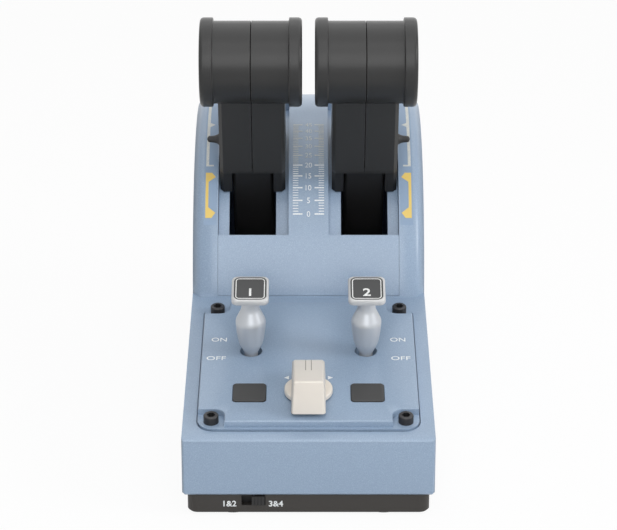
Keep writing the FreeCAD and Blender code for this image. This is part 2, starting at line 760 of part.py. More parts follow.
def shaft_clips():
    """Open retaining rings in the shaft's grooves."""
    half = upright_places()[2][1] + 2.6
    clips = []
    for side in (-1, 1):
        x = side * (half - 1.8)
        clip = cylinder(shaft_r + 1.6, V(x - 0.4, pivot.y, pivot.z), X_AXIS, 0.8)
        clip = clip.cut(cylinder(shaft_r - 0.75, V(x - 1, pivot.y, pivot.z), X_AXIS, 2))
        mouth = box(x - 1, x + 1, pivot.y - 1.8, pivot.y + 1.8, pivot.z - 12, pivot.z)
        clips.append(clip.cut(mouth))
    return Part.makeCompound(clips)


def frame_screws():
    """Four hexagon bolts that hold the lever frame to the pan."""
    top = pan_z + pan_floor + frame_foot_thick
    bolts = []
    for x, y in frame_screw_spots():
        head = Part.Face(hexagon(x, y, top, 5.5)).extrude(V(0, 0, 2.2))
        shank = cylinder(screw_shank_r - 0.25, V(x, y, top - 6.0), Z_AXIS, 6.0)
        bolts.append(head.fuse(shank).removeSplitter())
    return Part.makeCompound(bolts)


def friction_disc(side):
    """Fibre disc between the lever hub and the outer upright."""
    x0 = lever_x + arm_width / 2 + upright_gap
    disc = cylinder(disc_r, V(side * x0, pivot.y, pivot.z), V(side, 0, 0), disc_thick + upright_gap)
    bore = cylinder(shaft_r, V(side * (x0 - 1), pivot.y, pivot.z), V(side, 0, 0), disc_thick + 4)
    return disc.cut(bore)


def sensor_board(side):
    """Small board on the middle upright that faces the hub's magnet."""
    x = upright_places()[1][1]
    x0, x1 = sorted((side * x, side * (x + board_thick)))
    return box(x0, x1, pivot.y - 9, pivot.y + 9, pivot.z - 22, pivot.z - 8.2)


def main_board():
    """Controller board lying on the pan floor under the deck."""
    floor = pan_z + pan_floor
    board = box(-30, 30, -72, -12, floor + 3, floor + 3 + board_thick)
    posts = [box(x - 2, x + 2, y - 2, y + 2, floor, floor + 3) for x in (-26, 26) for y in (-68, -16)]
    chips = [box(-7, 7, -50, -36, floor + 3 + board_thick, floor + 4.2 + board_thick),
             box(12, 22, -34, -28, floor + 3 + board_thick, floor + 5 + board_thick),
             box(-24, -12, -28, -22, floor + 3 + board_thick, floor + 7 + board_thick)]
    return joined([board] + posts + chips)


def usb_socket():
    """USB-C socket shell set in the rear wall, with its mouth open to the back."""
    outer = rounded_slot(usb_half_wide, usb_half_tall, rear_y - 9.0, rear_y - 0.2)
    inner = rounded_slot(usb_half_wide - 0.5, usb_half_tall - 0.5, rear_y - 7.5, rear_y + 1)
    tongue = box(usb_x - 3.2, usb_x + 3.2, rear_y - 8.0, rear_y - 1.6, usb_z - 0.35, usb_z + 0.35)
    return joined([outer.cut(inner), tongue])


def usb_board():
    """Upright board that carries the socket, standing on the pan floor."""
    floor = pan_z + pan_floor
    return box(usb_x - 9, usb_x + 9, rear_y - 9.0 - board_thick, rear_y - 9.0, floor, usb_z + 6)


# ================= levers =================

def lever_arm(side):
    """Hub on the shaft and the arm: deep toward the user up to the block's lip, slim inside the block."""
    half = arm_width / 2
    hub = cylinder(hub_r, V(-half, 0, 0), X_AXIS, arm_width)
    top = block_foot_r + 26
    arm = extruded([(-hub_r + 1, 0), (arm_half_depth + 1.5, 0), (arm_half_depth, 40), (arm_half_depth, top),
                    (-arm_half_depth, top), (-arm_half_depth, block_lip_z - 0.6),
                    (-arm_nose, block_lip_z - 0.6), (-arm_nose, channel_floor_r - 8)], -half, half)
    arm = bevel_where(arm, 1.5, lambda c, e: c.y < -arm_nose + 0.01 and e.BoundBox.ZLength > 10)
    bore = cylinder(shaft_r + bush_wall, V(-half - 1, 0, 0), X_AXIS, arm_width + 2)
    return on_lever(hub.fuse(arm).removeSplitter().cut(bore), side)


def lever_bush(side):
    """Brass bush pressed in the hub, running on the shaft."""
    half = arm_width / 2 + 0.4
    bush = cylinder(shaft_r + bush_wall, V(-half, 0, 0), X_AXIS, 2 * half)
    bore = cylinder(shaft_r + shaft_fit, V(-half - 1, 0, 0), X_AXIS, 2 * half + 2)
    return on_lever(bush.cut(bore), side)


def lever_magnet(side):
    """Sensor magnet in the hub's inner face."""
    half = arm_width / 2
    return on_lever(cylinder(magnet_r, V(-half - 1.2, 0, -9), X_AXIS, 1.2), side)


def block_outline():
    """Side outline of the block: cheeks set in under the lip, straight sides, shoulders under the head."""
    foot_z = math.sqrt(block_foot_r ** 2 - block_foot_half ** 2)
    d = block_half_depth
    neck_z = head_z - math.sqrt(head_r ** 2 - block_neck_half ** 2)
    front = [(-block_foot_half, foot_z), (-d + block_lip, block_lip_z), (-d, block_lip_z),
             (-d, block_shoulder_z), (-block_neck_half, neck_z), (-block_neck_half, neck_z + 4)]
    back = [(-y, z) for y, z in reversed(front)]
    return front, back


def block_solid(x0, x1):
    """Block between two X planes, with an arched foot and a saddle for the head."""
    front, back = block_outline()
    lines = [V(x0, y, z) for y, z in front + back]
    edges = [Part.makeLine(a, b) for a, b in zip(lines, lines[1:])]
    edges.append(Part.Arc(lines[-1], V(x0, 0, block_foot_r), lines[0]).toShape())
    solid = Part.Face(Part.Wire(edges)).extrude(V(x1 - x0, 0, 0))
    saddle = cylinder(head_r, V(x0 - 1, 0, head_z), X_AXIS, x1 - x0 + 2)
    return solid.cut(saddle)


def block_trim():
    """Prism that bevels the block's upright edges and the outer corners of its foot."""
    h = block_width / 2
    d = block_half_depth
    b = block_edge
    foot_z = math.sqrt(block_foot_r ** 2 - block_foot_half ** 2)
    plan = [(h, b - d), (h, d - b), (h - b, d), (b - h, d),
            (-h, d - b), (-h, b - d), (b - h, -d), (h - b, -d)]
    front = [(-h, foot_z + b), (b - h, foot_z), (h - b, foot_z), (h, foot_z + b), (h, head_z), (-h, head_z)]
    upright = Part.Face(Part.makePolygon([V(x, y, 0) for x, y in plan + plan[:1]])).extrude(V(0, 0, head_z))
    front_wire = Part.makePolygon([V(x, -2 * d, z) for x, z in front + front[:1]])
    across = Part.Face(front_wire).extrude(V(0, 4 * d, 0))
    return upright.common(across)


def block_half(side, which):
    """One moulded half of the block, hollow for the arm, with the arm's nose open to the front."""
    outer = which == "outer"
    x0, x1 = (head_seam / 2, block_width / 2) if outer else (-block_width / 2, -head_seam / 2)
    half = block_solid(x0, x1).common(block_trim())
    room = box(-arm_width / 2, arm_width / 2, -arm_half_depth, arm_half_depth, 0, block_foot_r + 26)
    nose_half = arm_width / 2 + 0.3
    nose_room = box(-nose_half, nose_half, -2 * block_half_depth, 0, 0, block_lip_z - 0.2)
    return on_lever(half.cut([room, nose_room, latch_pocket(), latch_pin_bar()]), side)


def pointer(side):
    """Small index nub on the block's outer face, flared like a trumpet at its root."""
    r = pointer_root_r
    nub = revolved([(0, 0), (r, 0), (0.7 * r, 0.9), (0.5 * r, 1.9), (pointer_tip_r, 3.2),
                    (pointer_tip_r, pointer_reach - 1.2), (0.5 * pointer_tip_r, pointer_reach),
                    (0, pointer_reach)])
    nub.rotate(V(0, 0, 0), V(0, 1, 0), 90)
    nub.translate(V(block_width / 2, -pointer_front, pointer_z))
    return on_lever(nub, side)


def head_half(side, which):
    """Half of the cylindrical handle: shell, end flange and an end wall with a dish or the button's well."""
    seam = head_seam / 2
    end = head_width / 2
    core_r = head_r - head_shell
    core_end = end - button_bore - 1.4
    soft = flange_round * (1 - math.sqrt(0.5))
    if which == "outer":
        well_r = button_r + button_fit
        recess = [(end - button_bore, 0), (end - button_bore, well_r), (end, well_r)]
    else:
        recess = [(end - 0.7, 0), (end - 0.7, head_r - 4.5), (end, head_r - 4.5)]
    points = [(seam, core_r), (core_end, core_r), (core_end, 0)] + recess + [
        (end, flange_r - flange_round), (end - soft, flange_r - soft), (end - flange_round, flange_r),
        (end - flange_width + 0.4, flange_r), (end - flange_width, flange_r - 0.4),
        (end - flange_width, head_r), (seam, head_r)]
    wire = Part.makePolygon([V(x, 0, r) for x, r in points + points[:1]])
    half = Part.Face(wire).revolve(V(0, 0, 0), X_AXIS, 360)
    if which == "inner":
        half = half.mirror(V(0, 0, 0), X_AXIS)
    half.translate(V(0, 0, head_z))
    return on_lever(half, side)


def disconnect_button(side):
    """Round thumb button in the handle's outer end, with a shallow dish."""
    tall = button_bore - button_travel - 0.3 - button_sink
    button = revolved([(0, 0), (button_r, 0), (button_r, tall - 0.4), (button_r - 0.4, tall),
                       (button_r - 1.2, tall), (0, tall - 0.5)])
    button.rotate(V(0, 0, 0), V(0, 1, 0), 90)
    button.translate(V(head_width / 2 - button_sink - tall, 0, head_z))
    return on_lever(button, side)


def latch_pocket():
    """Recess in the block's far face for the latch's root."""
    half = latch_width / 2 + 0.4
    return box(-half, half, latch_pin_y - 3.2, block_half_depth + 5, latch_pin_z - 12, latch_pin_z + 14)


def latch_pin_bar():
    """Hinge pin of the latch."""
    half = latch_width / 2 + 2.5
    return cylinder(latch_pin_r, V(-half, latch_pin_y, latch_pin_z), X_AXIS, 2 * half)


def latch_pin(side):
    """Steel pin across the block's pocket."""
    return on_lever(latch_pin_bar(), side)


def latch_lever(side):
    """Finger lever on the far face: round root on its pin and a hooked blade below."""
    half = latch_width / 2
    y0 = latch_pin_y
    root = cylinder(latch_thick / 2 + 0.9, V(-half, y0, latch_pin_z), X_AXIS, latch_width)
    blade = extruded([(y0 - 1.2, latch_pin_z), (y0 + 2.4, latch_pin_z),
                      (y0 + 8.5, latch_pin_z - latch_length * 0.55),
                      (y0 + 15.0, latch_pin_z - latch_length * 0.72),
                      (y0 + 14.0, latch_pin_z - latch_length * 0.72 - 3.2),
                      (y0 + 5.5, latch_pin_z - latch_length * 0.66)], -half, half)
    lever = root.fuse(blade).removeSplitter()
    bore = cylinder(latch_pin_r + shaft_fit, V(-half - 1, y0, latch_pin_z), X_AXIS, latch_width + 2)
    return on_lever(lever.cut(bore), side)


# ================= the set of pieces =================

def pieces():
    """Every node by name."""
    parts = {
        "upper_housing": upper_housing(), "sector_plate": sector_plate(), "base_pan": base_pan(),
        "rubber_feet": rubber_feet(), "base_screws": base_screws(),
        "control_panel": control_panel(), "panel_screws": panel_screws(),
        "mode_knob": mode_knob(), "knob_shaft": knob_shaft(), "rotary_switch": rotary_switch(),
        "tact_switches": tact_switches(), "slide_knob": slide_knob(), "slide_switch": slide_switch(),
        "lever_frame": lever_frame(), "pivot_shaft": pivot_shaft(), "shaft_clips": shaft_clips(),
        "frame_screws": frame_screws(), "main_board": main_board(), "usb_socket": usb_socket(),
        "usb_board": usb_board(),
    }
    for name, side in SIDES.items():
        parts["push_button_" + name] = push_button(side)
        parts["engine_switch_stick_" + name] = switch_stick(side)
        parts["engine_switch_cap_" + name] = switch_cap(side)
        parts["engine_switch_face_" + name] = cap_face(side)
        parts["toggle_switch_" + name] = toggle_switch(side)
        parts["side_cover_" + name] = side_cover(side)
        parts["friction_disc_" + name] = friction_disc(side)
        parts["sensor_board_" + name] = sensor_board(side)
        parts["lever_arm_" + name] = lever_arm(side)
        parts["lever_bush_" + name] = lever_bush(side)
        parts["lever_magnet_" + name] = lever_magnet(side)
        parts["lever_block_outer_" + name] = block_half(side, "outer")
        parts["lever_block_inner_" + name] = block_half(side, "inner")
        parts["lever_pointer_" + name] = pointer(side)
        parts["lever_head_outer_" + name] = head_half(side, "outer")
        parts["lever_head_inner_" + name] = head_half(side, "inner")
        parts["disconnect_button_" + name] = disconnect_button(side)
        parts["latch_lever_" + name] = latch_lever(side)
        parts["latch_pin_" + name] = latch_pin(side)
    return parts


os.makedirs("parts", exist_ok=True)
for node, shape in pieces().items():
    shape.exportStep("parts/" + node + ".step")
    print(node, len(shape.Solids), shape.isValid(), round(shape.Volume))
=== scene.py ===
"""A desk throttle quadrant: blue moulded housing, twin black thrust levers, control panel with
two engine switches, a cream selector, two keys, and a black pan with a bank slider."""
import json
import math
import bpy
import numpy as np
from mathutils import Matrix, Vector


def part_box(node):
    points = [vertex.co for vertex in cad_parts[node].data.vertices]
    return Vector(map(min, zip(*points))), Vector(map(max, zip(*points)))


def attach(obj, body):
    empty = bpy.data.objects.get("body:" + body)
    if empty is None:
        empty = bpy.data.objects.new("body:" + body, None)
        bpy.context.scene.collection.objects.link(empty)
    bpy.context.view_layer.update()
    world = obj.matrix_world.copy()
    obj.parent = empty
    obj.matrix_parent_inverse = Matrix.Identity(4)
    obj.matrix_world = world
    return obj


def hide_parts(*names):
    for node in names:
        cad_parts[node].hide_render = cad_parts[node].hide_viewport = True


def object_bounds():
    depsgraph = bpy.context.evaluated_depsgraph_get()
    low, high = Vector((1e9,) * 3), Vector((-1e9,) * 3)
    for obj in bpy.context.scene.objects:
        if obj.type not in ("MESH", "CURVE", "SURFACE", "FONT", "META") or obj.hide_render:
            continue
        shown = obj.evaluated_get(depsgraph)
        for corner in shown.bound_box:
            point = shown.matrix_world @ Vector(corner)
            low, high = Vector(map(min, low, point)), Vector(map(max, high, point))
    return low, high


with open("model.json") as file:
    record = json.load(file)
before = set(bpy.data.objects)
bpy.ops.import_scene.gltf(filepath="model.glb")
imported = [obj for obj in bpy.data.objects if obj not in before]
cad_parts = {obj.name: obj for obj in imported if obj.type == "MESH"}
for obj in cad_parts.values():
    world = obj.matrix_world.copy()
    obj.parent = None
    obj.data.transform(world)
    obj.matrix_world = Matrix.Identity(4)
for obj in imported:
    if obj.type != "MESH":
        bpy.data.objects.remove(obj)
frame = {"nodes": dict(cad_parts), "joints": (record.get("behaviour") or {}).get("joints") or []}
cad_box = [list(corner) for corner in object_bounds()]
MM = 0.001

# ---------------------------------------------------------------------------------------------
# Studio: a seated user's view, a little above the levers, over a plain white table. Soft boxes
# over the eye and a broad one overhead give most of the light, with a weak one behind and a fill
# at each side. What the camera and the reflections see of the room is plain white.
# ---------------------------------------------------------------------------------------------
front_y = cad_box[0][1]
deck_edge_z = 33.3 * MM
eye_pitch = math.radians(20.0)
eye_away = 882.9 * MM
eye_above_deck = 394.4 * MM

camera = bpy.data.objects.new("camera", bpy.data.cameras.new("camera"))
camera.location = (0.0, front_y - eye_away, deck_edge_z + eye_above_deck)
camera.rotation_euler = (math.radians(90) - eye_pitch, 0, 0)
camera.data.lens = 143.5
camera.data.sensor_width = 36.0
camera.data.clip_start = 0.01
camera.data.clip_end = 50
bpy.context.scene.collection.objects.link(camera)
bpy.context.scene.camera = camera
bpy.context.scene.view_settings.view_transform = "Standard"


class Socket:
    """A shader output that can be used in ordinary sums: each operator adds its Math node."""

    def __init__(self, tree, link):
        self.tree = tree
        self.link = link

    def _math(self, operation, *values):
        return self.tree.add("ShaderNodeMath", {"operation": operation}, dict(enumerate(values)))

    def __add__(self, other):
        return self._math("ADD", self, other)

    def __radd__(self, other):
        return self._math("ADD", other, self)

    def __sub__(self, other):
        return self._math("SUBTRACT", self, other)

    def __rsub__(self, other):
        return self._math("SUBTRACT", other, self)

    def __mul__(self, other):
        return self._math("MULTIPLY", self, other)

    def __rmul__(self, other):
        return self._math("MULTIPLY", other, self)

    def clamped(self):
        """Held between 0 and 1."""
        return self.tree.add("ShaderNodeClamp", {}, {0: self, 1: 0.0, 2: 1.0})


class Shading:
    """The nodes of one material or world; add() makes every node."""

    def __init__(self, tree, end):
        self.nodes = tree.nodes
        self.links = tree.links
        self.nodes.clear()
        self.output = self.nodes.new(end)

    def add(self, kind, settings=None, inputs=None, out=0):
        """A node of that kind: settings first, then the values or links of its sockets."""
        node = self.nodes.new(kind)
        for key, value in (settings or {}).items():
            setattr(node, key, value)
        for key, value in (inputs or {}).items():
            if isinstance(value, Socket):
                self.links.new(value.link, node.inputs[key])
            else:
                node.inputs[key].default_value = value
        return Socket(self, node.outputs[out])

    def end_with(self, shader):
        """That shader is the tree's surface."""
        self.links.new(shader.link, self.output.inputs["Surface"])

    def looked_at(self):
        """1 for what the camera sees, straight or by reflection or glass, and 0 for light itself."""
        straight, mirrored, through = [self.add("ShaderNodeLightPath", out=ray) for ray in
                                       ("Is Camera Ray", "Is Glossy Ray", "Is Transmission Ray")]
        return (straight + mirrored + through).clamped()


class Finish(Shading):
    """One material, with the patterns that the finishes share."""

    def __init__(self, name):
        self.material = bpy.data.materials.new(name)
        self.material.use_nodes = True
        super().__init__(self.material.node_tree, "ShaderNodeOutputMaterial")

    def noise(self, scale, detail=2.0, roughness=0.5):
        """Cloudy grain of that many features a metre, on the object's own axes."""
        place = self.add("ShaderNodeTexCoord", out="Object")
        return self.add("ShaderNodeTexNoise", {}, {"Vector": place, "Scale": scale, "Detail": detail,
                                                   "Roughness": roughness})

    def mix(self, amount, first, second):
        """Colour between two colours."""
        return self.add("ShaderNodeMix", {"data_type": "RGBA"}, {0: amount, 6: first, 7: second}, out=2)

    def bump(self, height, distance, strength=1.0):
        """Surface relief from a height."""
        return self.add("ShaderNodeBump", {}, {"Height": height, "Distance": distance, "Strength": strength})

    def surface(self, **sockets):
        """Principled surface as the material's output; an underscore stands for a space in a name."""
        named = {key.replace("_", " "): value for key, value in sockets.items()}
        self.end_with(self.add("ShaderNodeBsdfPrincipled", {}, named))
        return self.material


def lamp(name, place, aim, size, power):
    """Square soft lamp that faces a point."""
    data = bpy.data.lights.new(name, "AREA")
    data.size = size
    data.energy = power
    obj = bpy.data.objects.new(name, data)
    obj.location = place
    direction = np.array(aim) - np.array(place)
    flat = math.hypot(direction[0], direction[1])
    obj.rotation_euler = (math.atan2(flat, -direction[2]), 0, math.atan2(-direction[0], direction[1]))
    bpy.context.scene.collection.objects.link(obj)


aim_point = (0, 0, 0.08)
lamp("lamp_front", (0, -1.45, 0.66), aim_point, 0.9, 8.5)
lamp("lamp_high", (0, -0.9, 1.3), aim_point, 0.9, 5.0)
lamp("lamp_top", (0, 0.3, 1.6), aim_point, 2.4, 19.0)
lamp("lamp_back", (0, 2.0, 0.62), (0, 0, 0.1), 1.3, 2.0)
lamp("lamp_left", (-1.3, -0.5, 0.7), aim_point, 0.6, 0.6)
lamp("lamp_right", (1.3, -0.5, 0.7), aim_point, 0.6, 9.5)

white = (1, 1, 1, 1)
room_light = 0.085
world = bpy.data.worlds.new("studio")
world.use_nodes = True
bpy.context.scene.world = world
room = Shading(world.node_tree, "ShaderNodeOutputWorld")
room_lit = room.add("ShaderNodeBackground", {}, {"Color": white, "Strength": room_light})
room_seen = room.add("ShaderNodeBackground", {}, {"Color": white, "Strength": 1.0})
room.end_with(room.add("ShaderNodeMixShader", {}, {0: room.looked_at(), 1: room_lit, 2: room_seen}))

table_glow = 0.93
table_half = 12.0
table = Finish("table_white")
table_paint = table.add("ShaderNodeBsdfDiffuse", {}, {"Color": (0.86, 0.86, 0.86, 1)})
table_white = table.add("ShaderNodeEmission", {}, {"Color": white, "Strength": 1.0})
table.end_with(table.add("ShaderNodeMixShader", {},
                         {0: table.looked_at() * table_glow, 1: table_paint, 2: table_white}))
table_mesh = bpy.data.meshes.new("table")
table_mesh.from_pydata([(-table_half, -table_half, 0), (table_half, -table_half, 0),
                        (table_half, table_half, 0), (-table_half, table_half, 0)], [], [(0, 1, 2, 3)])
table_mesh.materials.append(table.material)
table_top = bpy.data.objects.new("table", table_mesh)
bpy.context.scene.collection.objects.link(table_top)

# ---------------------------------------------------------------------------------------------
# Housing, sector insert, control panel and side covers: injection-moulded plastic in blue-grey,
# sprayed with a satin paint whose fine fleck gives each face a slight sparkle.
# ---------------------------------------------------------------------------------------------


def rgb(red, green, blue):
    """Opaque colour from screen values, 0 to 255."""
    def linear(value):
        c = value / 255
        return c / 12.92 if c <= 0.04045 else ((c + 0.055) / 1.055) ** 2.4
    return (linear(red), linear(green), linear(blue), 1.0)


blue_paint = rgb(138, 158, 181)
blue_fleck_dark = rgb(123, 143, 167)
blue_fleck_pale = rgb(166, 185, 205)
blue_drift = rgb(129, 149, 173)
fleck_pitch = 0.42 * MM
fleck_edge = 9.0
drift_per_metre = 35.0
spark_depth = 0.018 * MM


def satin_blue():
    """Blue-grey satin paint: dark and pale flecks, a faint drift of tone, spark-grain relief."""
    paint = Finish("satin_blue")
    fleck = paint.noise(1 / fleck_pitch, 3.0, 0.65)
    drift = paint.noise(drift_per_metre)
    dark = ((0.47 - fleck) * fleck_edge).clamped() * 0.55
    pale = ((fleck - 0.55) * fleck_edge).clamped() * 0.5
    tone = paint.mix(dark, blue_paint, blue_fleck_dark)
    tone = paint.mix(pale, tone, blue_fleck_pale)
    tone = paint.mix((drift * 0.2).clamped(), tone, blue_drift)
    spark = paint.noise(2.2 / fleck_pitch, 2.0, 0.6)
    relief = paint.bump(spark + fleck * 0.6, spark_depth, 0.5)
    return paint.surface(Base_Color=tone, Roughness=fleck * 0.14 + 0.36, Normal=relief,
                         Coat_Weight=0.35, Coat_Roughness=0.2)


blue_finish = satin_blue()
weld_reach = 0.002 * MM


def dress(node, finish, round_deg=50):
    """The CAD piece takes a finish; faces that meet at less than that angle shade as one surface."""
    piece = frame["nodes"][node]
    piece.data.materials.clear()
    piece.data.materials.append(finish)
    piece.data.polygons.foreach_set("use_smooth", np.ones(len(piece.data.polygons), dtype=bool))
    weld = piece.modifiers.new("weld", "WELD")
    weld.merge_threshold = weld_reach
    split = piece.modifiers.new("edges", "EDGE_SPLIT")
    split.split_angle = math.radians(round_deg)
    normals = piece.modifiers.new("normals", "WEIGHTED_NORMAL")
    normals.keep_sharp = True
    normals.weight = 100


for blue_node in ("upper_housing", "sector_plate", "control_panel", "side_cover_left", "side_cover_right"):
    dress(blue_node, blue_finish)

# ---------------------------------------------------------------------------------------------
# Printing on the hump: the thrust scale with its numerals on the middle strip, and on each outer
# strip a thin self-coloured decal with a white and a yellow bracket. All of it is pad-printed
# and stands at most 0.05 mm proud; the scale's ticks and numerals above 20 are in a paler ink.
# ---------------------------------------------------------------------------------------------
lever_pivot = next(np.array(joint["pos_m"]) for joint in frame["joints"]
                   if joint["name"] == "thrust_lever_right")
lever_x = lever_pivot[0]
hump_r = 80.1 * MM
ink_thick = 0.05 * MM
specks_per_metre = 2600.0
rubs_per_metre = 260.0
speck_depth = 0.005 * MM


def ink(name, colour, ground, wear):
    """Printing ink: a speckled film, through which more of the ground's colour shows with wear."""
    film = Finish(name)
    worn = film.noise(specks_per_metre, 3.0, 0.6)
    cloud = film.noise(rubs_per_metre)
    through = ((worn - 0.5) * 1.6 + (cloud - 0.5) * 0.6 + wear).clamped()
    tone = film.mix(through, colour, ground)
    return film.surface(Base_Color=tone, Roughness=worn * 0.15 + 0.42,
                        Normal=film.bump(worn, speck_depth, 0.4))


white_ink = ink("ink_white", rgb(236, 238, 236), blue_paint, 0.10)
pale_ink = ink("ink_pale", rgb(214, 214, 204), blue_paint, 0.22)
yellow_ink = ink("ink_yellow", rgb(224, 194, 104), blue_paint, -0.16)
decal_blue = ink("decal_blue", rgb(132, 154, 180), blue_paint, 0.2)


def mesh_piece(name, vertices, faces, finish, body, smooth=False):
    """Object at the origin from arrays of vertices and faces, riding on a body."""
    mesh = bpy.data.meshes.new(name)
    mesh.from_pydata(np.asarray(vertices).tolist(), [], [[int(k) for k in face] for face in faces])
    mesh.materials.append(finish)
    mesh.polygons.foreach_set("use_smooth", np.full(len(mesh.polygons), smooth))
    mesh.update()
    piece = bpy.data.objects.new(name, mesh)
    bpy.context.scene.collection.objects.link(piece)
    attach(piece, body)
    return piece


def on_hump(u, v, h):
    """Print rolled onto the hump, u across, v up the curve and h outward: from the pivot, y is
    (r + h) sin(v / r) and z is (r + h) cos(v / r)."""
    angle = v / hump_r
    return np.stack([u, lever_pivot[1] + (hump_r + h) * np.sin(angle),
                     lever_pivot[2] + (hump_r + h) * np.cos(angle)], axis=-1)


def film_bar(u0, u1, v0, v1, rows, thick=ink_thick):
    """Closed thin bar: a rectangle section carried along v in equal rows."""
    v = np.repeat(np.linspace(v0, v1, rows + 1), 4)
    u = np.tile([u0, u1, u1, u0], rows + 1)
    h = np.tile([-thick, -thick, thick, thick], rows + 1)
    ring = np.arange(rows)[:, None] * 4
    side = np.arange(4)
    after = (side + 1) % 4
    walls = np.stack([ring + side, ring + after, ring + after + 4, ring + side + 4], axis=-1).reshape(-1, 4)
    caps = [[3, 2, 1, 0], [rows * 4, rows * 4 + 1, rows * 4 + 2, rows * 4 + 3]]
    return np.stack([u, v, h], axis=-1), np.concatenate([walls, caps])


def film_shape(corners):
    """Closed thin plate from the corners of a flat outline; either turning sense is put right."""
    flat = np.array(corners)
    after = np.roll(flat, -1, axis=0)
    if np.sum(flat[:, 0] * after[:, 1] - flat[:, 1] * after[:, 0]) < 0:
        flat = flat[::-1]
    count = len(flat)
    low = np.column_stack([flat, np.full(count, -ink_thick)])
    high = np.column_stack([flat, np.full(count, ink_thick)])
    i = np.arange(count)
    j = (i + 1) % count
    walls = np.stack([i, j, j + count, i + count], axis=-1).tolist()
    return np.concatenate([low, high]), walls + [i[::-1].tolist(), (i + count).tolist()]


def print_films(name, films, place, finish, body="base"):
    """Joins flat films into one printed piece and rolls or lays it in place."""
    vertices, faces, start = [], [], 0
    for points, quads in films:
        vertices.append(place(points[:, 0], points[:, 1], points[:, 2]))
        faces += [[int(k) + start for k in quad] for quad in quads]
        start += len(points)
    mesh_piece(name, np.concatenate(vertices), faces, finish, body)


capital_share = 0.72


def lettering(name, words, high, u, v, place, finish, body="base", stretch=1.0, weight=0.0):
    """Lettering centred on (u, v) in the built-in plain face: raised film, laid by the place function."""
    curve = bpy.data.curves.new(name, "FONT")
    curve.body = words
    curve.size = high / capital_share
    curve.extrude = ink_thick
    curve.offset = weight
    curve.align_x = "CENTER"
    curve.resolution_u = 6
    holder = bpy.data.objects.new(name + "_curve", curve)
    bpy.context.scene.collection.objects.link(holder)
    mesh = bpy.data.meshes.new_from_object(holder.evaluated_get(bpy.context.evaluated_depsgraph_get()))
    bpy.data.objects.remove(holder)
    points = np.empty(len(mesh.vertices) * 3)
    mesh.vertices.foreach_get("co", points)
    points = points.reshape(-1, 3)
    middle = (points[:, :2].max(axis=0) + points[:, :2].min(axis=0)) / 2
    flat_u = (points[:, 0] - middle[0]) * stretch + u
    flat_v = points[:, 1] - middle[1] + v
    mesh.vertices.foreach_set("co", place(flat_u, flat_v, points[:, 2]).ravel())
    mesh.materials.clear()
    mesh.materials.append(finish)
    piece = bpy.data.objects.new(name, mesh)
    bpy.context.scene.collection.objects.link(piece)
    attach(piece, body)


def strip_v(degrees_forward):
    """Place along the curve of an angle forward of upright: the arc of that angle at the hump's radius."""
    return -math.radians(degrees_forward) * hump_r


scale_end = 45
scale_step = 5
zero_deg = 53.1
first_step_deg = 4.554
closing_deg = 0.0697
# From this value up, the scale's ticks and numerals are printed in the paler ink.
paler_ink_from = 20


def scale_v(value):
    """Place of a thrust value along the curve: the angle is zero - first n + closing n^2 at step n, so
    the marks close up toward full thrust."""
    steps = value / scale_step
    return strip_v(zero_deg - first_step_deg * steps + closing_deg * steps ** 2)


tick_inner = 2.6 * MM
tick_outer = 6.75 * MM
short_inner = 4.4 * MM
tick_half = 0.30 * MM
thin_half = 0.17 * MM
tick_films = {"low": [], "high": []}
for value in range(scale_end + 1):
    numbered = value % scale_step == 0
    half = tick_half if numbered else thin_half
    inner = tick_inner if numbered else short_inner
    v = scale_v(value)
    tick_films["low" if value <= paler_ink_from else "high"] += [
        film_bar(inner, tick_outer, v - half, v + half, 1),
        film_bar(-tick_outer, -inner, v - half, v + half, 1)]
print_films("scale_ticks_low", tick_films["low"], on_hump, white_ink)
print_films("scale_ticks_high", tick_films["high"], on_hump, pale_ink)
numeral_high = 2.7 * MM
for value in range(0, scale_end + 1, scale_step):
    numeral_ink = white_ink if value <= paler_ink_from else pale_ink
    lettering("scale_%02d" % value, str(value), numeral_high, 0.0, scale_v(value), on_hump, numeral_ink,
              stretch=0.86)

decal_in = 39.7 * MM
decal_out = 45.3 * MM
decal_thick = 0.008 * MM
decal_low_deg = 56.7
bracket_out = 44.6 * MM
bracket_wide = 1.25 * MM
yellow_reach = 3.1 * MM
yellow_low_deg = 54.4
yellow_low_rise = 4.9 * MM
yellow_high_deg = 38.9
yellow_high_rise = 4.6 * MM
white_reach = 2.1 * MM
white_low_deg = 35.9
white_high_deg = -8.0
white_foot_wide = 0.8 * MM
white_arrow_deg = 17.8
white_arrow_reach = 2.2 * MM
white_arrow_half = 1.5 * MM


def bracket(side, low, high):
    """Bar along an outer strip between two angles, its outer edge at the same place on both sides."""
    return film_bar(side * bracket_out - (side + 1) / 2 * bracket_wide,
                    side * bracket_out - (side - 1) / 2 * bracket_wide, strip_v(low), strip_v(high), 18)


def barb(side, v, rise):
    """Four-cornered barb that points inward from the bar: a flat foot at v for 0.45 of its reach, its
    tip at 0.48 of its rise, and a slant back to the bar."""
    u = side * (bracket_out - bracket_wide)
    return film_shape([(u, v), (u - side * yellow_reach * 0.45, v),
                       (u - side * yellow_reach, v + rise * 0.48), (u, v + rise)])


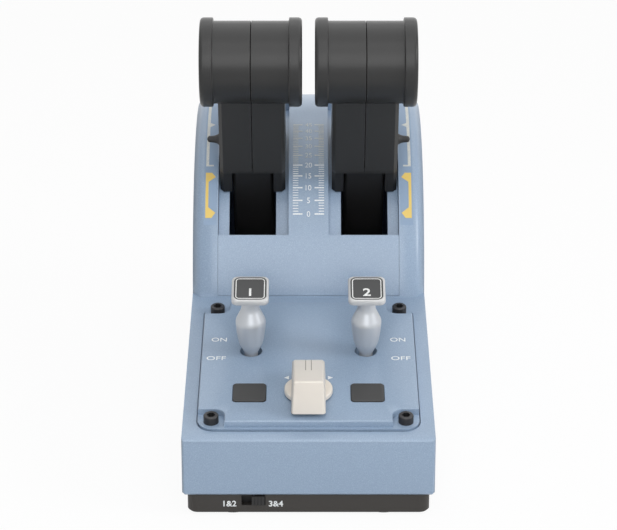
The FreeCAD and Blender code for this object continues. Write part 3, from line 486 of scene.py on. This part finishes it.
decal_films = []
yellow_films = []
white_films = []
for side in (-1, 1):
    decal_u = sorted((side * decal_in, side * decal_out))
    decal_films.append(film_bar(decal_u[0], decal_u[1], strip_v(decal_low_deg), strip_v(white_high_deg),
                                rows=40, thick=decal_thick))
    yellow_films += [bracket(side, yellow_low_deg, yellow_high_deg),
                     barb(side, strip_v(yellow_low_deg), yellow_low_rise),
                     barb(side, strip_v(yellow_high_deg), -yellow_high_rise)]
    foot_u = sorted((side * bracket_out, side * (bracket_out - bracket_wide - white_reach)))
    foot_v = strip_v(white_low_deg)
    arrow_root = side * (bracket_out - bracket_wide)
    arrow_v = strip_v(white_arrow_deg)
    white_films += [bracket(side, white_low_deg, white_high_deg),
                    film_bar(foot_u[0], foot_u[1], foot_v - white_foot_wide, foot_v, 1),
                    film_shape([(arrow_root, arrow_v - white_arrow_half),
                                (arrow_root - side * white_arrow_reach, arrow_v),
                                (arrow_root, arrow_v + white_arrow_half)])]
print_films("strip_decals", decal_films, on_hump, decal_blue)
print_films("bracket_yellow", yellow_films, on_hump, yellow_ink)
print_films("bracket_white", white_films, on_hump, pale_ink)

# ---------------------------------------------------------------------------------------------
# Control panel printing: ON and OFF beside each engine switch, and plain arrows left and right
# of the selector, in the same white pad-printed ink.
# ---------------------------------------------------------------------------------------------
deck_slope = math.radians(9.84)
panel_raise = 3.75 * MM


def on_deck(x, s, h):
    """Deck coordinates: x across, s up the slope from the front edge, h along the deck's normal."""
    return np.stack([x, front_y + s * math.cos(deck_slope) - h * math.sin(deck_slope),
                     deck_edge_z + s * math.sin(deck_slope) + h * math.cos(deck_slope)], axis=-1)


def on_panel(u, v, h):
    """Flat print laid on the panel's top face."""
    return on_deck(u, v, panel_raise + h)


word_high = 3.0 * MM
on_x = 37.1 * MM
on_s = 69.0 * MM
off_x = 37.9 * MM
off_s = 54.5 * MM
for side, hand in ((-1, "left"), (1, "right")):
    lettering("word_on_" + hand, "ON", word_high, side * on_x, on_s, on_panel, white_ink, stretch=1.02)
    lettering("word_off_" + hand, "OFF", word_high, side * off_x, off_s, on_panel, white_ink, stretch=1.12)

arrow_root_x = 7.9 * MM
arrow_tip_x = 9.9 * MM
arrow_s = 39.6 * MM
arrow_half = 1.3 * MM
arrow_films = [film_shape([(side * arrow_root_x, arrow_s - arrow_half), (side * arrow_tip_x, arrow_s),
                           (side * arrow_root_x, arrow_s + arrow_half)]) for side in (-1, 1)]
print_films("selector_arrows", arrow_films, on_panel, white_ink)

# ---------------------------------------------------------------------------------------------
# Engine switches: satin-plated turned handles with a tulip-shaped bulb, each under a pale square
# cap that is moulded with soft edges and holds a black face printed with a ring and its number.
# ---------------------------------------------------------------------------------------------


def darker(colour, share):
    """The same colour at a share of its brightness."""
    return tuple(c * share for c in colour[:3]) + (1.0,)


clouds_per_metre = 220.0
blast_depth = 0.006 * MM


def metal(name, colour, roughness, grain_pitch, metallic=1.0):
    """Bare or plated metal with a fine turned or blasted grain."""
    finish = Finish(name)
    grain = finish.noise(1 / grain_pitch, 3.0, 0.6)
    cloud = finish.noise(clouds_per_metre)
    tone = finish.mix(grain * 0.3, colour, darker(colour, 0.8))
    return finish.surface(Base_Color=tone, Metallic=metallic,
                          Roughness=grain * 0.1 + cloud * 0.08 + roughness,
                          Normal=finish.bump(grain, blast_depth, 0.35))


flows_per_metre = 90.0
mould_depth = 0.012 * MM


def moulding(name, colour, roughness, grain_pitch, relief=0.35, sheen=0.0, specular=0.5):
    """Moulded plastic: an even tone with a faint drift, fine spark grain and a soft gloss."""
    finish = Finish(name)
    grain = finish.noise(1 / grain_pitch, 3.0, 0.6)
    drift = finish.noise(flows_per_metre)
    tone = finish.mix((drift * 0.5).clamped(), colour, darker(colour, 0.88))
    return finish.surface(Base_Color=tone, Roughness=grain * 0.1 + drift * 0.06 + roughness,
                          Normal=finish.bump(grain, mould_depth, relief), Specular_IOR_Level=specular,
                          Coat_Weight=sheen, Coat_Roughness=0.25)


face_colour = rgb(40, 41, 42)
satin_metal = metal("satin_plating", rgb(192, 196, 201), 0.30, 0.25 * MM, 0.45)
cap_pale = moulding("cap_pale", rgb(198, 199, 200), 0.26, 0.4 * MM, sheen=0.2)
face_black = moulding("face_black", face_colour, 0.3, 0.4 * MM)
face_print = ink("ink_face", rgb(232, 233, 232), face_colour, 0.0)


def soft_outline(corners, steps=6):
    """Profile from (along, radius, round) corners: each corner with a round becomes the quadratic
    curve (1 - t)^2 start + 2 t (1 - t) corner + t^2 end between points that far along its two sides."""
    points = []
    for i, (a, r, soft) in enumerate(corners):
        here = np.array([a, r])
        if soft == 0 or i in (0, len(corners) - 1):
            points.append(here[None])
            continue
        back = np.array(corners[i - 1][:2]) - here
        ahead = np.array(corners[i + 1][:2]) - here
        start = here + back / np.linalg.norm(back) * soft
        end = here + ahead / np.linalg.norm(ahead) * soft
        t = np.linspace(0, 1, steps)[:, None]
        points.append((1 - t) ** 2 * start + 2 * t * (1 - t) * here + t ** 2 * end)
    return np.concatenate(points)


def turned(name, profile, place, finish, body, around=96, flip=False, round_deg=40):
    """Turned solid: the profile (along, radius) swept round its axis at equal angles, so that a point
    is (along, radius cos angle, radius sin angle). Both ends of the profile lie on the axis."""
    angle = np.arange(around) * 2 * np.pi / around
    inner = profile[1:-1]
    along = np.repeat(inner[:, 0], around)
    radius = np.repeat(inner[:, 1], around)
    spin = np.tile(angle, len(inner))
    rings = np.stack([along, radius * np.cos(spin), radius * np.sin(spin)], axis=-1)
    ends = np.array([[profile[0, 0], 0, 0], [profile[-1, 0], 0, 0]])
    flat = np.concatenate([rings, ends])
    row = (np.arange(len(inner) - 1) * around)[:, None]
    k = np.arange(around)
    n = (k + 1) % around
    quads = np.stack([row + k, row + n, row + n + around, row + k + around], axis=-1).reshape(-1, 4).tolist()
    last = (len(inner) - 1) * around
    first_fan = np.stack([np.full(around, len(rings)), n, k], axis=-1).tolist()
    last_fan = np.stack([np.full(around, len(rings) + 1), last + k, last + n], axis=-1).tolist()
    faces = quads + first_fan + last_fan
    if flip:
        faces = [face[::-1] for face in faces]
    piece = mesh_piece(name, place(flat), faces, finish, body, smooth=True)
    split = piece.modifiers.new("edges", "EDGE_SPLIT")
    split.split_angle = math.radians(round_deg)
    return piece


stick_x = 23.65 * MM
stick_s = 58.9 * MM
stick_profile = soft_outline([
    (-5.8, 0, 0), (-5.8, 2.6, 0), (4.3, 2.75, 0.8), (6.4, 3.75, 1.0), (8.9, 4.9, 0.8), (14.0, 5.9, 4.0),
    (19.5, 6.25, 1.3), (25.0, 3.7, 1.2), (31.2, 3.5, 0), (31.2, 0, 0)]) * MM


def in_stick(side):
    """Place of a turned handle: its axis stands along the deck's normal."""
    return lambda p: on_deck(side * stick_x + p[:, 1], stick_s + p[:, 2], p[:, 0])


cap_tilt = math.radians(13.0)
cap_base = 31.9 * MM
face_top = 2.85 * MM
ring_half = 5.95 * MM
ring_band = 0.36 * MM
ring_round = 1.6 * MM
number_high = 4.4 * MM
number_v = -2.1 * MM
number_weight = 0.12 * MM


def on_cap(side):
    """Print coordinates of a cap: u across, v up its face, w out of it, leaned toward the user."""
    def place(u, v, w):
        out = face_top + w
        return on_deck(side * stick_x + u, stick_s + v * math.cos(cap_tilt) - out * math.sin(cap_tilt),
                       cap_base + v * math.sin(cap_tilt) + out * math.cos(cap_tilt))
    return place


def film_ring(half, band, soft, per_corner=8):
    """Thin closed band round a rounded square: each loop is four quarter arcs of radius soft, whose
    centres stand in from the corners, joined by straights; the inner loop stands in by the band."""
    quarter = (np.arange(per_corner) + 0.5) / per_corner * np.pi / 2
    angle = (quarter[None] + np.arange(4)[:, None] * np.pi / 2).ravel()
    loops = []
    for edge, radius, h in ((half, soft, -1), (half, soft, 1), (half - band, soft - band, 1),
                            (half - band, soft - band, -1)):
        centre = edge - radius
        loops.append(np.stack([np.sign(np.cos(angle)) * centre + radius * np.cos(angle),
                               np.sign(np.sin(angle)) * centre + radius * np.sin(angle),
                               np.full(len(angle), h * ink_thick)], axis=-1))
    count = len(angle)
    k = np.arange(count)
    n = (k + 1) % count
    quads = []
    for low in range(4):
        high = (low + 1) % 4
        quads.append(np.stack([low * count + k, low * count + n,
                               high * count + n, high * count + k], axis=-1))
    return np.concatenate(loops), np.concatenate(quads)


for side, hand, number in ((-1, "left", "1"), (1, "right", "2")):
    body = "engine_switch_" + hand
    stick = turned("switch_handle_" + hand, stick_profile, in_stick(side), satin_metal, body)
    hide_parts("engine_switch_stick_" + hand)
    dress("engine_switch_cap_" + hand, cap_pale)
    dress("engine_switch_face_" + hand, face_black)
    print_films("switch_ring_" + hand, [film_ring(ring_half, ring_band, ring_round)], on_cap(side),
                face_print, body)
    lettering("switch_number_" + hand, number, number_high, 0.0, number_v, on_cap(side), face_print, body,
              stretch=1.1, weight=number_weight)

# ---------------------------------------------------------------------------------------------
# Mode selector and keys: a cream moulded knob with two index lines on its sloping top, drawn as darker
# films that paint the shade of engraved grooves, and two charcoal keys that stand just proud of the panel.
# ---------------------------------------------------------------------------------------------
cream = moulding("cream_moulding", rgb(228, 221, 211), 0.30, 0.5 * MM, relief=0.3, sheen=0.15)
key_black = moulding("key_black", rgb(58, 58, 58), 0.42, 0.4 * MM, specular=0.3)
# The index lines' colour is painted shade: a darker film stands in for the shade down in each engraved
# groove.
groove_shade = moulding("engraved_line", rgb(150, 142, 130), 0.5, 0.4 * MM)
dress("mode_knob", cream)
grip_front = np.array([11.5, 19.85]) * MM
grip_back = np.array([39.2, 12.85]) * MM
grip_run = grip_back - grip_front
grip_long = float(np.linalg.norm(grip_run))
index_x = 1.15 * MM
index_half = 0.16 * MM
index_from = grip_long / 2
index_to = grip_long - 1.1 * MM


def on_grip(u, v, h):
    """Flat print laid on the knob's sloping top: v runs from its front edge toward its back edge, which
    are the deck places (s, h) grip_front and grip_back."""
    s_way, h_way = grip_run / grip_long
    return on_deck(u, grip_front[0] + v * s_way - h * h_way, grip_front[1] + v * h_way + h * s_way)


index_films = [film_bar(u - index_half, u + index_half, index_from, index_to, 1)
               for u in (-index_x, index_x)]
print_films("knob_index_lines", index_films, on_grip, groove_shade, "selector")
for hand in ("left", "right"):
    dress("push_button_" + hand, key_black)

# ---------------------------------------------------------------------------------------------
# Pan, feet, screws and bank slider: a black tray with a fine spark finish, black oxide screws,
# rubber feet, and plain bank numbers beside the slider's window.
# ---------------------------------------------------------------------------------------------
pan_black = moulding("pan_black", rgb(46, 43, 40), 0.5, 0.5 * MM, relief=0.7)
slider_black = moulding("slider_black", rgb(22, 22, 23), 0.4, 0.4 * MM)
rubber_black = moulding("rubber_black", rgb(32, 32, 32), 0.75, 0.6 * MM, relief=0.8)
oxide_black = metal("oxide_black", rgb(54, 54, 56), 0.34, 0.3 * MM, 0.55)
dress("base_pan", pan_black)
dress("slide_knob", slider_black, round_deg=20)
dress("slide_switch", slider_black)
dress("rubber_feet", rubber_black)
for node in ("panel_screws", "base_screws", "frame_screws"):
    dress(node, oxide_black)
pan_front_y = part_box("base_pan")[0][1]


def on_pan_front(u, v, h):
    """Flat print on the pan's front wall: v is the height above the table."""
    return np.stack([u, pan_front_y - h, v], axis=-1)


bank_z = 4.9 * MM
bank_high = 2.45 * MM
bank_weight = 0.07 * MM
for name, words, u in (("bank_low", "1&2", -31.2 * MM), ("bank_high", "3&4", -12.9 * MM)):
    lettering(name, words, bank_high, u, bank_z, on_pan_front, white_ink, stretch=1.06, weight=bank_weight)

# ---------------------------------------------------------------------------------------------
# Thrust levers: each is a moulded black arm with a two-part block and a two-part cylindrical
# handle that ends in rounded flanges. The halves meet in a fine open joint down the middle.
# ---------------------------------------------------------------------------------------------
lever_black = moulding("lever_black", rgb(51, 51, 51), 0.25, 0.35 * MM, relief=0.4, specular=0.24)
# The cheek colour is painted shade: the cheeks sit down in the channel under the block's lip, so they are
# coloured far darker than the rest of the block.
cheek_black = moulding("cheek_black", rgb(18, 19, 21), 0.5, 0.35 * MM, relief=0.45)
arm_black = moulding("arm_black", rgb(30, 30, 31), 0.45, 0.4 * MM)
lever_lean = math.radians(29.3)
head_z = 133.2 * MM


def in_lever(side, along, back, up):
    """Lever coordinates, upright about the pivot, mirrored to their side and leaned toward the user."""
    return np.stack([side * (lever_x + along),
                     lever_pivot[1] + back * math.cos(lever_lean) - up * math.sin(lever_lean),
                     lever_pivot[2] + back * math.sin(lever_lean) + up * math.cos(lever_lean)], axis=-1)


seam_half = 0.125 * MM
cavity_x = 13.1 * MM
cavity_r = 14.25 * MM
barrel_r = 17.45 * MM
flange_x = 16.0 * MM
flange_r = 18.85 * MM
handle_end = 21.5 * MM
button_r = 6.75 * MM
button_floor = 14.5 * MM
recess_r = 12.95 * MM
recess_floor = 20.8 * MM
rim_round = 0.3 * MM


def shell_profile(end):
    """Half handle in section: cavity, open joint, barrel, flange with a full round, and its end."""
    return soft_outline([(cavity_x, 0, 0), (cavity_x, cavity_r, 0), (seam_half, cavity_r, 0),
                         (seam_half, barrel_r, 0.22 * MM), (flange_x, barrel_r, 0.5 * MM),
                         (flange_x, flange_r, 0.45 * MM), (handle_end, flange_r, 1.9 * MM)] + end, steps=9)


outer_profile = shell_profile([(handle_end, button_r, rim_round), (button_floor, button_r, 0),
                               (button_floor, 0, 0)])
inner_profile = shell_profile([(handle_end, recess_r, rim_round), (recess_floor, recess_r, rim_round),
                               (recess_floor, 0, 0)])


def in_handle(side, way):
    """Place of a turned half: its axis runs outward (way 1) or inward (way -1) at the head's height."""
    return lambda p: in_lever(side, way * p[:, 0], p[:, 1], p[:, 2] + head_z)


block_half = 14.1 * MM
block_reach = 18.8 * MM
block_bevel = 1.5 * MM
bevel_from_y = 10 * MM
core_y = 9.0 * MM
saddle_gap = 0.05 * MM
saddle_r = barrel_r + saddle_gap
lip_z = 84.4 * MM
lip_top_z = 85.9 * MM
front_top_y = -13.9 * MM
rear_wall_y = 12.6 * MM
rear_top_z = 114.6 * MM
rear_chamfer_z = 108.4 * MM
arch_z = 74.9 * MM
cheek_inner_x = 9.0 * MM
rear_inner_x = 9.9 * MM


def saddle(y0, y1, steps=9):
    """Underside of the handle's barrel from one depth to another: z = head_z - sqrt(r^2 - y^2)."""
    y = np.linspace(y0, y1, steps)
    return np.stack([y, head_z - np.sqrt(saddle_r ** 2 - y ** 2)], axis=-1)


upper_side = np.concatenate([[[-core_y, lip_z], [-block_reach, lip_z], [-block_reach, lip_top_z]],
                             saddle(front_top_y, core_y),
                             [[rear_wall_y, rear_top_z], [rear_wall_y, lip_z]]])
cheek_side = np.array([[-18.9 * MM, 72.9 * MM], [-17.8 * MM, lip_z], [block_reach, lip_z],
                       [18.0 * MM, 73.2 * MM], [core_y, arch_z], [-core_y, arch_z]])
rear_side = np.array([[rear_wall_y, lip_z], [rear_wall_y, rear_top_z], [block_reach, rear_chamfer_z],
                      [block_reach, lip_z]])


def block_shell(outline, inner, way, side):
    """Side outline carried across from the middle of the lever to the block's bevelled outer side: the
    sections at x = inner, half - bevel and half keep their heights, and the last draws in to
    y - bevel sign(y) at its front and rear corners."""
    inset = outline.copy()
    inset[:, 0] -= np.sign(inset[:, 0]) * block_bevel * (np.abs(inset[:, 0]) > bevel_from_y)
    rings = [(inner, outline), (block_half - block_bevel, outline), (block_half, inset)]
    vertices = np.concatenate([in_lever(side, np.full(len(ring), way * x), ring[:, 0], ring[:, 1])
                               for x, ring in rings])
    count = len(outline)
    k = np.arange(count)
    n = (k + 1) % count
    walls = np.concatenate([np.stack([row + k, row + n, row + count + n, row + count + k], axis=-1)
                            for row in (0, count)])
    faces = walls.tolist() + [list(range(count))[::-1], list(range(2 * count, 3 * count))]
    turn = outline[:, 0] * np.roll(outline[:, 1], -1) - np.roll(outline[:, 0], -1) * outline[:, 1]
    if turn.sum() * way * side < 0:
        faces = [face[::-1] for face in faces]
    return vertices, faces


def lever_block(name, way, side, body):
    """Half block: the upper shell, the cheek that hangs beside the arm, and the rear shell; the cheek takes
    a much darker colour, painted shade of the channel and the lip above it.
    """
    vertices, faces, looks, start = [], [], [], 0
    for outline, inner, look in ((upper_side, seam_half, 0), (cheek_side, cheek_inner_x, 1),
                                 (rear_side, rear_inner_x, 0)):
        points, sides = block_shell(outline, inner, way, side)
        vertices.append(points)
        faces += [[k + start for k in face] for face in sides]
        looks += [look] * len(sides)
        start += len(points)
    block = mesh_piece(name, np.concatenate(vertices), faces, lever_black, body)
    # The cheek faces take the painted-shade colour.
    block.data.materials.append(cheek_black)
    block.data.polygons.foreach_set("material_index", looks)
    return block


nub_long = 5.8 * MM
nub_r = 1.35 * MM
nub_flare = 2.1 * MM
nub_flare_run = 1.25 * MM
nub_y = -2.3 * MM
nub_z = 88.6 * MM


def nub_profile(steps=26):
    """Index nub in section: radius r + flare e^(-x / run), closed over the last fifth of its length by
    a round, sqrt(1 - (5 t - 4)^2), where t goes from 0 at the root to 1 at the tip."""
    t = np.linspace(0, 1, steps)
    closing = np.sqrt(1 - np.clip(5 * t - 4, 0, 1) ** 2)
    radius = (nub_r + nub_flare * np.exp(-t * nub_long / nub_flare_run)) * closing
    return np.concatenate([[[0, 0]], np.stack([t * nub_long, radius], axis=-1)[:-1], [[nub_long, 0]]])


def in_nub(side):
    """Place of the nub, its root on the block's outer side."""
    return lambda p: in_lever(side, p[:, 0] + block_half, p[:, 1] + nub_y, p[:, 2] + nub_z)


for side, hand in ((-1, "left"), (1, "right")):
    body = "lever_" + hand
    for name, profile, way in (("outer", outer_profile, 1), ("inner", inner_profile, -1)):
        handle = turned("handle_%s_%s" % (name, hand), profile, in_handle(side, way), lever_black, body,
                        around=128, flip=side * way < 0)
        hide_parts("lever_head_%s_%s" % (name, hand))
    # The nub takes the darker arm colour as painted shade: it sits in the shade of the block's side.
    nub = turned("index_nub_" + hand, nub_profile(), in_nub(side), arm_black, body, around=40, flip=side < 0)
    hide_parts("lever_pointer_" + hand)
    dress("lever_arm_" + hand, arm_black)
    for part in ("disconnect_button_", "latch_lever_"):
        dress(part + hand, lever_black)
    for name, way in (("outer", 1), ("inner", -1)):
        block = lever_block("block_%s_%s" % (name, hand), way, side, body)
        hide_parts("lever_block_%s_%s" % (name, hand))

# ---------------------------------------------------------------------------------------------
# Works inside the housing: black frame and switch bodies, steel shaft and clips, brass bushes,
# fibre friction discs, green boards, and the socket in the rear wall.
# ---------------------------------------------------------------------------------------------
frame_black = moulding("frame_black", rgb(42, 42, 44), 0.45, 0.8 * MM)
board_green = moulding("solder_mask", rgb(30, 92, 56), 0.35, 0.6 * MM)
fibre = moulding("pressed_fibre", rgb(150, 128, 98), 0.75, 0.3 * MM, relief=0.8)
steel = metal("ground_steel", rgb(190, 192, 196), 0.25, 0.2 * MM)
brass = metal("turned_brass", rgb(206, 170, 100), 0.25, 0.2 * MM)
for node in ("rotary_switch", "lever_frame", "toggle_switch_left", "toggle_switch_right"):
    dress(node, frame_black)
for node in ("tact_switches", "main_board", "usb_board", "sensor_board_left", "sensor_board_right"):
    dress(node, board_green)
for node in ("knob_shaft", "pivot_shaft", "shaft_clips", "usb_socket"):
    dress(node, steel)
for hand in ("left", "right"):
    dress("friction_disc_" + hand, fibre)
    dress("lever_bush_" + hand, brass)
    dress("lever_magnet_" + hand, steel)
    dress("latch_pin_" + hand, steel)
